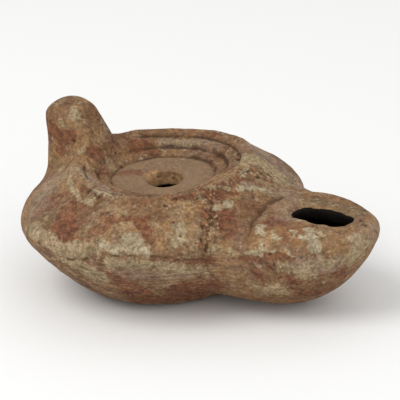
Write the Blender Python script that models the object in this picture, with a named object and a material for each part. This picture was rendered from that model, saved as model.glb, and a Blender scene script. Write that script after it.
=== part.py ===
"""A small mould-made oil lamp of fired clay, in one hollow piece.

The frame has its origin at the centre of the base's underside, +X along the nozzle and +Z up.
The bowl, the nozzle and the lug handle are united, and the oil chamber, the wick channel, the
two holes and the incised lines are then cut out of them.
"""
import math

import bmesh
import bpy

# Radii of the top, in metres, from the disc outwards
DISC_RADIUS = 0.0115
RING_WIDTH = 0.0027            # lower ledge
LEDGE_WIDTH = 0.0029           # upper ledge
RIM_WIDTH = 0.0038
SHOULDER_WIDTH = 0.0106        # from the rim out to the seam between the mould's halves
RIM_CREST_SHARE = 0.36         # where the crest lies across the rim, from its outer edge

# Heights
SEAM_HEIGHT = 0.01675
SHOULDER_RISE = 0.0090         # from the seam up to the rim's outer edge
RIM_RISE = 0.0017              # from there to the crest
LEDGE_STEP = 0.0011            # down from the crest to the upper ledge
RING_STEP = 0.0016
DISC_STEP = 0.0010
DISC_DISH = 0.0002             # the disc is lower at its middle by this much
RING_LINE_DEPTH = 0.0004       # incised circle at the foot of each step
STEP_RUN = 0.0007              # how far a step takes to climb

# Bowl
SEAM_ROUND = 0.0024            # height of the rounded edge below the seam
SEAM_SHIFT = (-0.0006, -0.0005)    # the bowl was pressed a little off the rim's centre
SEAM_WAVE = 0.0012             # the seam rises and falls by this much on the -Y side
SEAM_WAVE_ANGLE = 248.0        # where it crosses its mean height, degrees
SEAM_EDGE_SET_IN = 0.0007      # how far it draws in there
SHOULDER_CURVE = (0.85, 0.48)  # powers: nearly straight by the rim, rounded over at the seam
BOWL_FULLNESS = 0.64           # 1 is a straight cone, less is a rounder bowl
BASE_RADIUS = 0.0161
BASE_STEP = 0.0006             # the flat base stands out below the bowl by this much
BASE_LINE_RADIUS = 0.0128      # incised circle on the underside
BASE_LINE_DEPTH = 0.0005

# Walls
WALL = 0.0035
FLOOR_THICKNESS = 0.0040
DISC_THICKNESS = 0.0038

# Holes
FILL_HOLE_RADIUS = 0.0044
FILL_LIP_ROUND = 0.0010
WICK_HOLE_LENGTH = 0.0122
WICK_HOLE_WIDTH = 0.0064
WICK_HOLE_SETBACK = 0.0127     # from the tip of the nozzle to the middle of the hole
WICK_FLARE = 0.0014            # how much wider the worn funnel is, on each side
WICK_EDGE_DEPTH = 0.0009       # from the nozzle's top down to the narrowest part

# Nozzle
NOZZLE_PROJECTION = 0.0219     # tip beyond the seam's radius
NOZZLE_ROOT_HALF_WIDTH = 0.0184
NOZZLE_RISE = 0.0043           # top of the nozzle above the seam, at the wick hole
NOZZLE_TIP_FALL = 0.0003       # the top is lower at the tip by this much
NOZZLE_NOSE_RISE = 0.0024      # foremost point above the seam
NOZZLE_NOSE_ROUND = 0.0040     # half width at which the nose begins to round over
NOZZLE_TAPER_POWER = 1.2       # plan outline: (1 - s ** taper) ** round
NOZZLE_ROUND_POWER = 0.5
NECK_SECTION_POWER = 2.0       # superellipse power of the neck's top, 2 is round
NOZZLE_TOP_POWER = (2.8, 4.6)  # the same at the wick hole, on its -Y and +Y sides, more is flatter
NOZZLE_HULL_POWER = 2.2        # the same below the seam, at the root
NOZZLE_KEEL_POWER = 2.05       # and at the tip, less is more like a keel
NOZZLE_KEEL_HEIGHT = 0.0011    # underside above the ground
NOZZLE_KEEL_SETBACK = 0.0215   # from the tip back to where the underside begins to rise
KEEL_CURVE = (2.2, 0.9)        # powers of the rising underside: slow at first, then steep
NECK_DROP = 0.0006             # top of the neck below the rim's outer edge
NECK_SETTLE = 0.0062           # length over which the neck falls to the nozzle's level

# Pressed lines
ARCH_SETBACK = 0.0236          # from the tip back to the line across the neck
ARCH_LINE_RADIUS = 0.0009
NECK_LINE_RADIUS = 0.0010
NECK_LINE_RIM_ANGLE = (-31.5, 12.0)    # where each neck line begins on the rim, degrees
NECK_LINE_SEAM_ANGLE = (-38.0, 36.0)

# Handle, a solid lug over the back of the shoulder
HANDLE_RISE = 0.0100           # above the rim's crest
HANDLE_SETBACK = 0.0019        # back of the lug inside the seam's radius
HANDLE_TOP_LENGTH = 0.0081     # along X, at the top
HANDLE_HALF_WIDTH = 0.0050
HANDLE_FRONT_SLOPE = 0.62      # how far the front leans back for each unit of height
HANDLE_CORNER_ROUND = 0.0025
HANDLE_TOP_ROUND = 0.0030
HANDLE_FOOT_FLARE = 0.0045     # extra half width of the foot, at the seam
HANDLE_BACK_FLARE = 0.0014     # and how far the foot runs out behind there
HANDLE_FOOT_HEIGHT = 0.0135    # the flare fades out this far above the seam

# Facets
BODY_SIDES = 80
CAVITY_SIDES = 48
NOZZLE_SIDES = 36
NOZZLE_RINGS = 20
CHANNEL_SIDES = 24
CHANNEL_RINGS = 10
CORNER_STEPS = 5
HOLE_SIDES = 32
LINE_SIDES = 8
LINE_STEPS = 16

CLAY_COLOUR = (0.36, 0.215, 0.125, 1.0)
CLAY_ROUGHNESS = 0.9

ledge_inner = DISC_RADIUS + RING_WIDTH
rim_inner = ledge_inner + LEDGE_WIDTH
rim_outer = rim_inner + RIM_WIDTH
body_radius = rim_outer + SHOULDER_WIDTH
rim_base_height = SEAM_HEIGHT + SHOULDER_RISE
rim_height = rim_base_height + RIM_RISE
disc_height = rim_height - LEDGE_STEP - RING_STEP - DISC_STEP
nozzle_tip = body_radius + NOZZLE_PROJECTION
nozzle_root = rim_outer - NECK_DROP
wick_hole_x = nozzle_tip - WICK_HOLE_SETBACK
arch_x = nozzle_tip - ARCH_SETBACK
nozzle_height = SEAM_HEIGHT + NOZZLE_RISE
nose_height = SEAM_HEIGHT + NOZZLE_NOSE_RISE


def clear_scene():
    for thing in list(bpy.data.objects):
        bpy.data.objects.remove(thing, do_unlink=True)


def lofted_solid(name, rings):
    """A closed solid through rings of points with equal counts. A ring of one point is a pole."""
    bm = bmesh.new()
    loops = [[bm.verts.new(point) for point in ring] for ring in rings]
    for lower, upper in zip(loops, loops[1:]):
        count = max(len(lower), len(upper))
        for i in range(count):
            j = (i + 1) % count
            if len(lower) == 1:
                bm.faces.new((lower[0], upper[j], upper[i]))
            elif len(upper) == 1:
                bm.faces.new((lower[i], lower[j], upper[0]))
            else:
                bm.faces.new((lower[i], lower[j], upper[j], upper[i]))
    for loop in (loops[0], loops[-1]):
        if len(loop) > 1:
            bm.faces.new(loop)
    bmesh.ops.recalc_face_normals(bm, faces=bm.faces)
    mesh = bpy.data.meshes.new(name)
    bm.to_mesh(mesh)
    bm.free()
    solid = bpy.data.objects.new(name, mesh)
    bpy.context.scene.collection.objects.link(solid)
    return solid


def circle(radius, height, sides):
    if radius == 0.0:
        return [(0.0, 0.0, height)]
    turn = 2 * math.pi / sides
    return [(radius * math.cos(i * turn), radius * math.sin(i * turn), height) for i in range(sides)]


def turned_rings(profile, sides):
    """Circles for a profile of (radius, height) points that runs from the axis to the axis."""
    return [circle(radius, height, sides) for radius, height in profile]


def superellipse(centre_x, half_x, half_y, height, sides):
    """An oval in plan, about a point of the X axis."""
    turn = 2 * math.pi / sides
    return [(centre_x + half_x * math.cos(i * turn), half_y * math.sin(i * turn), height) for i in range(sides)]


def rounded_oblong(rear, front, half_width, corner, height):
    """A rectangle in plan with round corners, from x = rear to x = front."""
    corner = min(corner, half_width * 0.9, (front - rear) * 0.45)
    centres = [
        (front - corner, half_width - corner),
        (rear + corner, half_width - corner),
        (rear + corner, corner - half_width),
        (front - corner, corner - half_width),
    ]
    ring = []
    for quarter, (x, y) in enumerate(centres):
        for step in range(CORNER_STEPS + 1):
            angle = math.pi / 2 * (quarter + step / CORNER_STEPS)
            ring.append((x + corner * math.cos(angle), y + corner * math.sin(angle), height))
    return ring


def power_arc(share, power):
    """Height of a superellipse of unit size at this share of its half width."""
    return (1 - min(share, 1.0) ** power) ** (1 / power)


def pressed(x, y, z):
    """Moves a point of the turned bowl as the clay was pressed: most at the seam, not at all
    at the base and the rim. The seam slides sideways, and waves up and down on its -Y side."""
    if z < SEAM_HEIGHT:
        share = max(z, 0.0) / SEAM_HEIGHT
    else:
        share = max(rim_base_height - z, 0.0) / SHOULDER_RISE
    angle = math.atan2(y, x)
    nearness = (1 - math.sin(angle)) / 2
    wave = SEAM_WAVE * nearness * math.sin(2 * (angle - math.radians(SEAM_WAVE_ANGLE)))
    return (x + SEAM_SHIFT[0] * share, y + SEAM_SHIFT[1] * share, z + wave * share ** 2)


def shoulder_height(radius):
    """The shoulder: upright at the seam, then rounding over into a slope up to the rim."""
    share = min(max((radius - rim_outer) / SHOULDER_WIDTH, 0.0), 1.0)
    straight, turn_over = SHOULDER_CURVE
    return SEAM_HEIGHT + SHOULDER_RISE * (1 - share ** straight) ** turn_over


def bowl_curve(inner_radius, inner_height, outer_radius, outer_height, count):
    """A convex curve from the base up to the seam, without its first point."""
    points = []
    for i in range(1, count + 1):
        along = i / count
        height = inner_height + (outer_height - inner_height) * along
        points.append((inner_radius + (outer_radius - inner_radius) * along ** BOWL_FULLNESS, height))
    return points


def body_profile():
    """From the middle of the underside, up the bowl, over the shoulder and rim, to the disc."""
    foot_radius = BASE_RADIUS + BASE_STEP
    line_half = BASE_LINE_DEPTH * 1.4
    edge_radius = body_radius - SEAM_EDGE_SET_IN
    profile = [
        (0.0, 0.0),
        (BASE_LINE_RADIUS - line_half, 0.0),
        (BASE_LINE_RADIUS, BASE_LINE_DEPTH),
        (BASE_LINE_RADIUS + line_half, 0.0),
        (BASE_RADIUS, 0.0),
        (foot_radius, BASE_STEP),
    ]
    profile += bowl_curve(foot_radius, BASE_STEP, edge_radius, SEAM_HEIGHT - SEAM_ROUND, 6)
    profile.append((body_radius, SEAM_HEIGHT))
    for share in (0.97, 0.87, 0.70, 0.48, 0.24):
        radius = rim_outer + SHOULDER_WIDTH * share
        profile.append((radius, shoulder_height(radius)))
    crest = rim_outer - RIM_WIDTH * RIM_CREST_SHARE
    profile += [
        (rim_outer + RING_LINE_DEPTH, shoulder_height(rim_outer + RING_LINE_DEPTH)),
        (rim_outer, rim_base_height - RING_LINE_DEPTH * 0.5),
        (rim_outer - STEP_RUN * 0.4, rim_base_height + RIM_RISE * 0.5),
        ((rim_outer + crest) / 2, rim_height - RIM_RISE * 0.12),
        (crest, rim_height),
    ]
    level = rim_height
    for radius, step in ((rim_inner, LEDGE_STEP), (ledge_inner, RING_STEP), (DISC_RADIUS, DISC_STEP)):
        profile.append((radius + STEP_RUN, level - RING_LINE_DEPTH * 0.4))
        level -= step
        profile += [(radius, level - RING_LINE_DEPTH), (radius - STEP_RUN, level)]
    profile.append((0.0, disc_height - DISC_DISH))
    return profile


def cavity_profile():
    """The oil chamber, one wall inside the bowl, the shoulder and the disc."""
    floor_radius = BASE_RADIUS - WALL * 0.3
    wall_radius = body_radius - WALL * 1.2
    neck_radius = rim_outer - WALL * 0.4
    turn_radius = rim_outer + WALL
    ceiling = disc_height - DISC_THICKNESS
    profile = [(0.0, FLOOR_THICKNESS), (floor_radius, FLOOR_THICKNESS)]
    profile += bowl_curve(floor_radius, FLOOR_THICKNESS, wall_radius, SEAM_HEIGHT - SEAM_ROUND, 5)
    profile += [
        (wall_radius, SEAM_HEIGHT - SEAM_ROUND * 0.2),
        (turn_radius, shoulder_height(turn_radius) - WALL * 1.2),
        (neck_radius, rim_base_height - WALL * 1.3),
        (DISC_RADIUS + STEP_RUN, ceiling),
        (0.0, ceiling),
    ]
    return profile


def nozzle_half_width(x, tip):
    """Plan outline of the nozzle, from its root in the rim to its rounded point."""
    share = min(max((x - nozzle_root) / (tip - nozzle_root), 0.0), 1.0)
    return NOZZLE_ROOT_HALF_WIDTH * (1 - share ** NOZZLE_TAPER_POWER) ** NOZZLE_ROUND_POWER


def nozzle_top(x):
    """Centre line of the nozzle's top: down from the rim, then nearly level to the tip."""
    level = nozzle_height - NOZZLE_TIP_FALL * (x - wick_hole_x) / WICK_HOLE_SETBACK
    neck_fall = rim_base_height - NECK_DROP - nozzle_height
    return level + neck_fall * math.exp(-(x - nozzle_root) / NECK_SETTLE)


def nozzle_keel(x, tip):
    """Centre line of the underside: low as far as the neck, then rising steeply to the tip."""
    share = min(max((x - tip) / NOZZLE_KEEL_SETBACK + 1, 0.0), 1.0)
    slow, steep = KEEL_CURVE
    rise = (nose_height - NOZZLE_KEEL_HEIGHT) * (1 - (1 - share ** slow) ** steep)
    return NOZZLE_KEEL_HEIGHT + rise


def nozzle_top_power(x, y):
    """Round across the neck, and flatter from the arch line to the wick hole."""
    share = min(max((x - arch_x) / (wick_hole_x - arch_x), 0.0), 1.0)
    flat_power = NOZZLE_TOP_POWER[1] if y > 0 else NOZZLE_TOP_POWER[0]
    return NECK_SECTION_POWER + (flat_power - NECK_SECTION_POWER) * share


def nozzle_ring(x, tip, sides, wall):
    """One upright section of the nozzle, taken in by a wall thickness for the channel inside.
    The widest level climbs from the seam at the root to the nose at the tip."""
    half = max(nozzle_half_width(x, tip) - wall, 0.0)
    along = min(max((x - body_radius) / (tip - body_radius), 0.0), 1.0)
    blunt = min(1.0, half / NOZZLE_NOSE_ROUND) ** 0.6
    top = nose_height + (nozzle_top(x) - wall - nose_height) * blunt
    bottom = nozzle_keel(x, tip) + wall
    middle = min(SEAM_HEIGHT + (nose_height - SEAM_HEIGHT) * along ** 0.8, top)
    hull_power = NOZZLE_HULL_POWER + (NOZZLE_KEEL_POWER - NOZZLE_HULL_POWER) * along
    ring = []
    for i in range(sides):
        turn = 2 * math.pi * i / sides
        across, up = math.cos(turn), math.sin(turn)
        power = nozzle_top_power(x, across) if up >= 0 else hull_power
        rise = top - middle if up >= 0 else middle - bottom
        y = half * math.copysign(abs(across) ** (2 / power), across)
        ring.append((x, y, middle + rise * math.copysign(abs(up) ** (2 / power), up)))
    return ring


def nozzle_solid(name, start, tip, sides, count, wall):
    """Sections along X, closer together towards the tip, closed at a point there."""
    rings = []
    for i in range(count):
        x = start + (tip - start) * math.sin(0.5 * math.pi * i / count)
        rings.append(nozzle_ring(x, tip + wall, sides, wall))
    rings.append([(tip, 0.0, nose_height)])
    return lofted_solid(name, rings)


def handle_solid():
    """Round-cornered sections stacked in Z. The back is upright and the front leans back."""
    top = rim_height + HANDLE_RISE
    back = HANDLE_SETBACK - body_radius
    front_at_top = back + HANDLE_TOP_LENGTH
    straight_top = top - HANDLE_TOP_ROUND
    heights = [SEAM_HEIGHT + (straight_top - SEAM_HEIGHT) * i / 10 for i in range(11)]
    heights += [straight_top + HANDLE_TOP_ROUND * math.sin(angle) for angle in (0.5, 0.95, 1.3)]
    rings = []
    for z in heights:
        above = max(z - straight_top, 0.0)
        inset = HANDLE_TOP_ROUND - math.sqrt(HANDLE_TOP_ROUND ** 2 - above ** 2)
        flare = max(1 - (z - SEAM_HEIGHT) / HANDLE_FOOT_HEIGHT, 0.0) ** 2
        front = min(front_at_top + (top - z) * HANDLE_FRONT_SLOPE, -DISC_RADIUS - STEP_RUN) - inset
        rear = back - HANDLE_BACK_FLARE * flare + inset
        half_width = HANDLE_HALF_WIDTH + HANDLE_FOOT_FLARE * flare - inset
        rings.append(rounded_oblong(rear, front, half_width, HANDLE_CORNER_ROUND, z))
    rings.append([(back + HANDLE_TOP_LENGTH / 2, 0.0, top)])
    return lofted_solid("handle_form", rings)


def fill_hole_cutter():
    """A straight hole through the disc, with a rounded lip at the top."""
    bottom = disc_height - DISC_THICKNESS - WALL
    surface = disc_height - DISC_DISH
    lip = FILL_LIP_ROUND
    profile = [(0.0, bottom), (FILL_HOLE_RADIUS, bottom), (FILL_HOLE_RADIUS, surface - lip)]
    for angle in (math.pi / 6, math.pi / 3, math.pi / 2):
        profile.append((FILL_HOLE_RADIUS + lip * (1 - math.cos(angle)), surface - lip * (1 - math.sin(angle))))
    profile += [(FILL_HOLE_RADIUS + lip * 1.4, surface + lip), (0.0, surface + lip)]
    return lofted_solid("fill_hole_cutter", turned_rings(profile, HOLE_SIDES))


def wick_hole_cutter():
    """An oval funnel, narrowest at a thin edge and wider again below it."""
    edge = nozzle_height - WICK_EDGE_DEPTH
    levels = [
        (nozzle_height - WALL * 1.5, WICK_FLARE * 0.8),
        (edge - WALL * 0.25, WICK_FLARE * 0.1),
        (edge, 0.0),
        (edge + WICK_EDGE_DEPTH * 0.5, WICK_FLARE * 0.3),
        (nozzle_height, WICK_FLARE),
        (nozzle_height + WICK_EDGE_DEPTH * 2, WICK_FLARE * 1.5),
    ]
    rings = [superellipse(wick_hole_x, WICK_HOLE_LENGTH / 2 + grow, WICK_HOLE_WIDTH / 2 + grow, z, HOLE_SIDES)
             for z, grow in levels]
    return lofted_solid("wick_hole_cutter", rings)


def line_cutter(name, points, radius):
    """A round section swept along points, thinner at both ends."""
    last = len(points) - 1
    rings = []
    for i, (x, y, z) in enumerate(points):
        before, after = points[max(i - 1, 0)], points[min(i + 1, last)]
        run = [after[k] - before[k] for k in range(3)]
        length = math.sqrt(sum(part * part for part in run))
        tx, ty, tz = (part / length for part in run)
        flat = math.hypot(tx, ty)
        side = (-ty / flat, tx / flat, 0.0)
        up = (-tz * tx / flat, -tz * ty / flat, flat)
        thick = radius * math.sin(math.pi * (i + 0.5) / (last + 1)) ** 0.5
        ring = []
        for k in range(LINE_SIDES):
            turn = 2 * math.pi * k / LINE_SIDES
            c, s = thick * math.cos(turn), thick * math.sin(turn)
            ring.append((x + c * side[0] + s * up[0], y + c * side[1] + s * up[1], z + c * side[2] + s * up[2]))
        rings.append(ring)
    return lofted_solid(name, rings)


def nozzle_surface(x, y):
    """Height of the nozzle's top at a place in plan."""
    share = abs(y) / nozzle_half_width(x, nozzle_tip)
    return SEAM_HEIGHT + (nozzle_top(x) - SEAM_HEIGHT) * power_arc(share, nozzle_top_power(x, y))


def arch_line_cutter():
    """The line pressed across the neck, from a little past the middle down the near flank."""
    half = nozzle_half_width(arch_x, nozzle_tip)
    points = []
    for i in range(LINE_STEPS + 1):
        y = half * (0.10 - 0.98 * i / LINE_STEPS)
        x = arch_x + ARCH_LINE_RADIUS * 2.2 * (y / half) ** 2
        points.append((x, y, nozzle_surface(x, y) + ARCH_LINE_RADIUS * 0.2))
    return line_cutter("arch_line_cutter", points, ARCH_LINE_RADIUS)


def neck_line_cutter(name, rim_angle, seam_angle):
    """A groove down the shoulder, where the neck of the nozzle leaves it."""
    points = []
    for i in range(LINE_STEPS + 1):
        along = i / LINE_STEPS
        radius = rim_outer + SHOULDER_WIDTH * along
        angle = math.radians(rim_angle + (seam_angle - rim_angle) * along)
        x, y, z = pressed(radius * math.cos(angle), radius * math.sin(angle), shoulder_height(radius))
        points.append((x, y, z + NECK_LINE_RADIUS * 0.35))
    return line_cutter(name, points, NECK_LINE_RADIUS)


def combine(target, tool, operation):
    """A live Boolean with the exact solver. The tool stays as a hidden guide."""
    step = target.modifiers.new(tool.name, "BOOLEAN")
    step.operation = operation
    step.solver = "EXACT"
    step.object = tool
    tool.hide_render = True
    tool.display_type = "WIRE"


def clay_material():
    material = bpy.data.materials.new("fired_clay")
    material.use_nodes = True
    shader = material.node_tree.nodes["Principled BSDF"]
    shader.inputs["Base Color"].default_value = CLAY_COLOUR
    shader.inputs["Roughness"].default_value = CLAY_ROUGHNESS
    shader.inputs["Metallic"].default_value = 0.0
    return material


def main():
    clear_scene()
    body_rings = [[pressed(*point) for point in ring] for ring in turned_rings(body_profile(), BODY_SIDES)]
    lamp = lofted_solid("lamp_body", body_rings)
    nozzle = nozzle_solid("nozzle_form", rim_inner + STEP_RUN, nozzle_tip, NOZZLE_SIDES, NOZZLE_RINGS, 0.0)
    combine(lamp, nozzle, "UNION")
    combine(lamp, handle_solid(), "UNION")

    chamber = lofted_solid("chamber_cutter", turned_rings(cavity_profile(), CAVITY_SIDES))
    combine(lamp, chamber, "DIFFERENCE")
    channel_tip = nozzle_tip - WALL * 1.3
    channel = nozzle_solid("channel_cutter", rim_inner, channel_tip, CHANNEL_SIDES, CHANNEL_RINGS, WALL)
    combine(lamp, channel, "DIFFERENCE")
    combine(lamp, fill_hole_cutter(), "DIFFERENCE")
    combine(lamp, wick_hole_cutter(), "DIFFERENCE")

    combine(lamp, arch_line_cutter(), "DIFFERENCE")
    for side, rim_angle, seam_angle in zip(("near", "far"), NECK_LINE_RIM_ANGLE, NECK_LINE_SEAM_ANGLE):
        combine(lamp, neck_line_cutter(f"{side}_neck_line_cutter", rim_angle, seam_angle), "DIFFERENCE")

    lamp.data.materials.append(clay_material())
    lamp.data.shade_smooth()
    lamp.data.set_sharp_from_angle(angle=math.radians(35))


main()
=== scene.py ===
import math
import bpy
import numpy as np
from mathutils import Matrix, Vector


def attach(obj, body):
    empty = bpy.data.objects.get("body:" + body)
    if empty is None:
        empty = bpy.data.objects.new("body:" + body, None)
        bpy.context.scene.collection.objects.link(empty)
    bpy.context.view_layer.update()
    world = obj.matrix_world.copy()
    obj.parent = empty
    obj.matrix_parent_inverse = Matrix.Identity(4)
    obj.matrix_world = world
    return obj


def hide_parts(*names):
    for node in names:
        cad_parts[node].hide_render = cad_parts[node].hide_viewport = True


# A worn Roman lamp of fired clay. Shapes are worked out in millimetres, and the meshes are in metres.
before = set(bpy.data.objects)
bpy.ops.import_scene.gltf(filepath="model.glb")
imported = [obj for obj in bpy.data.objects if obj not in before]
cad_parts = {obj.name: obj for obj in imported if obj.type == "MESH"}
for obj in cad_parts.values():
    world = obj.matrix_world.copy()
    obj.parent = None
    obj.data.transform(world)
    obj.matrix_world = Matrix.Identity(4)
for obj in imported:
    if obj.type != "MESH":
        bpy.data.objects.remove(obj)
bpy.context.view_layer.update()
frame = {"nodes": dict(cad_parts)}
millimetre = 0.001
print("frame loaded:", ", ".join(frame["nodes"]))

# What a user would change on the lamp's form, in millimetres and degrees. The made sizes are the part's,
# and those from fillWornTo on are wear and pressing that only this scene shows.
lamp = {
    "discRadius": 11.5, "ringInner": 14.2, "rimInner": 17.1, "rimOuter": 20.9, "bodyRadius": 31.5,
    "seamHeight": 16.75, "shoulderRise": 9.0, "rimRise": 1.7, "ledgeStep": 1.1, "ringStep": 1.6,
    "discStep": 1.0, "lineDepth": 0.75, "stepRun": 0.5, "seamRound": 2.4, "seamSetIn": 0.7,
    "seamShift": (-0.6, -0.5), "seamWave": 1.2, "seamWaveAngle": 248.0,
    "shoulderCurve": (0.85, 0.48), "bowlFullness": 0.64, "baseRadius": 16.1, "baseStep": 0.6,
    "baseLine": 12.8, "wall": 3.5, "floor": 4.0, "discThickness": 3.8, "fillHole": 4.4, "fillLip": 0.7,
    "fillWornTo": -51.5, "fillWorn": (1.26, 0.88), "fillShift": (0.85, -0.6), "discSag": 0.8,
    "ringWornTo": -58.0, "ringWornFacing": (0.62, 0.92), "ringWornShare": 0.93, "ringWearTop": 26.8,
    "ringWearInset": 1.4,
    "mergeTo": 42.0, "mergeFacing": (0.25, 0.85), "merge": 1.2, "mergeReach": 2.2,
    "footLift": 1.3, "footLiftTo": 170.0, "footLiftSpread": 35.0,
}
lamp["rimBase"] = lamp["seamHeight"] + lamp["shoulderRise"]
lamp["rimTop"] = lamp["rimBase"] + lamp["rimRise"]
lamp["discTop"] = lamp["rimTop"] - lamp["ledgeStep"] - lamp["ringStep"] - lamp["discStep"]

nozzle = {
    "tip": 53.4, "root": 20.3, "rootHalf": 18.4, "top": 21.05, "tipFall": 0.3, "nose": 19.15,
    "noseRound": 4.0, "taper": 1.2, "round": 0.5, "neckPower": 2.0, "topPower": (2.8, 4.6),
    "hullPower": 2.2, "keelPower": 2.05, "keel": 1.1, "keelSetback": 21.5, "keelCurve": (2.2, 0.9),
    "neckTop": 25.15, "neckSettle": 6.2, "archX": 29.8,
    "holeX": 40.7, "holeHalf": (6.1, 3.2), "holeEdge": 0.45, "holeFlare": 1.3,
}

handle = {
    "back": -29.6, "topLength": 8.1, "halfWidth": 5.0, "frontSlope": 0.62, "top": 37.45,
    "cornerRound": 2.5, "topRound": 3.0, "footFlare": 4.5, "backFlare": 1.4, "footHeight": 13.5,
    "worn": 0.2, "piled": 0.4,
}


# Seeded value noise: random numbers on a lattice, blended with the smooth cubic 3t^2 - 2t^3.
def valueNoise(points, seed):
    lattice = np.random.default_rng(seed).random((32, 32, 32)) * 2 - 1
    cell = np.floor(points).astype(int)
    t = points - cell
    t = t * t * (3 - 2 * t)
    total = np.zeros(len(points))
    for corner in range(8):
        dx, dy, dz = corner & 1, corner >> 1 & 1, corner >> 2
        share = ((t[:, 0] if dx else 1 - t[:, 0]) * (t[:, 1] if dy else 1 - t[:, 1])
                 * (t[:, 2] if dz else 1 - t[:, 2]))
        total += share * lattice[(cell[:, 0] + dx) % 32, (cell[:, 1] + dy) % 32, (cell[:, 2] + dz) % 32]
    return total


# Sum of octaves, each twice as fine and half as strong. size is the largest wavelength in millimetres.
def layeredNoise(points, size, seed, octaves=3):
    total = np.zeros(len(points))
    for octave in range(octaves):
        total += valueNoise(points * (2 ** octave / size) + 11.3 * octave, seed + octave) / 2 ** octave
    return total / (2 - 2 ** (1 - octaves))


# 0 below low, 1 above high, and the smooth cubic between them.
def smoothStep(low, high, value):
    t = np.clip((value - low) / (high - low), 0, 1)
    return t * t * (3 - 2 * t)


# Distance of each point from a line of straight runs, and how far along it, 0 to 1, the nearest place is.
def pathDistance(points, path):
    path = np.asarray(path, float)
    best = np.full(len(points), 1e9)
    along = np.zeros(len(points))
    runs = np.diff(path, axis=0)
    lengths = np.linalg.norm(runs, axis=1)
    before = np.concatenate([[0], np.cumsum(lengths)])
    for start, run, length, walked in zip(path, runs, lengths, before):
        t = np.clip((points - start) @ run / length ** 2, 0, 1)
        away = np.linalg.norm(points - start - t[:, None] * run, axis=1)
        nearer = away < best
        best = np.where(nearer, away, best)
        along = np.where(nearer, (walked + t * length) / before[-1], along)
    return best, along


# A closed mesh from a grid of points (rows, columns, 3): columns go round, and the first and last row
# are poles, each shrunk to its mean.
def gridMesh(name, grid):
    rows, columns = grid.shape[:2]
    points = np.concatenate([[grid[0].mean(0)], grid[1:-1].reshape(-1, 3), [grid[-1].mean(0)]])
    first = 1 + np.arange(columns)
    following = np.roll(first, -1)
    last = 1 + (rows - 3) * columns + np.arange(columns)
    steps = (np.arange(rows - 3) * columns)[:, None]
    quads = np.stack([steps + first, steps + following, steps + following + columns,
                      steps + first + columns], -1)
    faces = [(0, b, a) for a, b in zip(first.tolist(), following.tolist())]
    faces += quads.reshape(-1, 4).tolist()
    faces += [(len(points) - 1, a, b) for a, b in zip(last.tolist(), np.roll(last, -1).tolist())]
    mesh = bpy.data.meshes.new(name)
    mesh.from_pydata((points * millimetre).tolist(), [], faces)
    mesh.update()
    return mesh


# Several meshes as one object, in the scene.
def joinedObject(name, meshes):
    piece = bpy.data.objects.new(name, meshes[0])
    bpy.context.scene.collection.objects.link(piece)
    others = [bpy.data.objects.new(name + "Part", mesh) for mesh in meshes[1:]]
    for other in others:
        bpy.context.scene.collection.objects.link(other)
    with bpy.context.temp_override(active_object=piece, object=piece, selected_objects=[piece] + others,
                                   selected_editable_objects=[piece] + others):
        bpy.ops.object.join()
    return piece


# Replaces the object's mesh by the one its modifiers make, and takes them off.
def applyModifiers(piece):
    bpy.context.view_layer.update()
    made = bpy.data.meshes.new_from_object(piece.evaluated_get(bpy.context.evaluated_depsgraph_get()))
    piece.modifiers.clear()
    piece.data = made


def remesh(piece, size):
    step = piece.modifiers.new("remesh", "REMESH")
    step.mode = "VOXEL"
    step.voxel_size = size * millimetre
    applyModifiers(piece)


# A line through (radius, height) corners, sampled every 0.15 mm and then averaged over a bell of the
# given width, which rounds its corners as wear does.
def softProfile(corners, spacing=0.15, width=0.22):
    corners = np.asarray(corners, float)
    lengths = np.concatenate([[0], np.cumsum(np.linalg.norm(np.diff(corners, axis=0), axis=1))])
    places = np.linspace(0, lengths[-1], int(lengths[-1] / spacing) + 1)
    line = np.stack([np.interp(places, lengths, corners[:, k]) for k in (0, 1)], -1)
    reach = int(3 * width / spacing) + 1
    bell = np.exp(-0.5 * (np.arange(-reach, reach + 1) * spacing / width) ** 2)
    bell /= bell.sum()
    padded = np.concatenate([2 * line[:1] - line[reach:0:-1], line, 2 * line[-1:] - line[-2:-reach - 2:-1]])
    soft = np.stack([np.convolve(padded[:, k], bell, "valid") for k in (0, 1)], -1)
    soft[0, 0] = soft[-1, 0] = 0
    return soft


# The first and last value twice, as a column: the extra rows shrink to poles in gridMesh.
def withPoles(values):
    return np.concatenate([values[:1], values, values[-1:]])[:, None]


# A profile turned about the Z axis: (r cos a, r sin a, z).
def turned(profile, columns):
    angle = np.linspace(0, 2 * np.pi, columns, endpoint=False)
    r, z = profile[:, 0][:, None], profile[:, 1][:, None]
    return np.stack([r * np.cos(angle), r * np.sin(angle), z + 0 * angle], -1)


# Height of the shoulder: seam + rise * (1 - share^a)^b, upright at the seam and nearly straight above it.
def shoulderHeight(radius):
    share = np.clip((radius - lamp["rimOuter"]) / (lamp["bodyRadius"] - lamp["rimOuter"]), 0, 1)
    straight, turnOver = lamp["shoulderCurve"]
    return lamp["seamHeight"] + lamp["shoulderRise"] * (1 - share ** straight) ** turnOver


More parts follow.
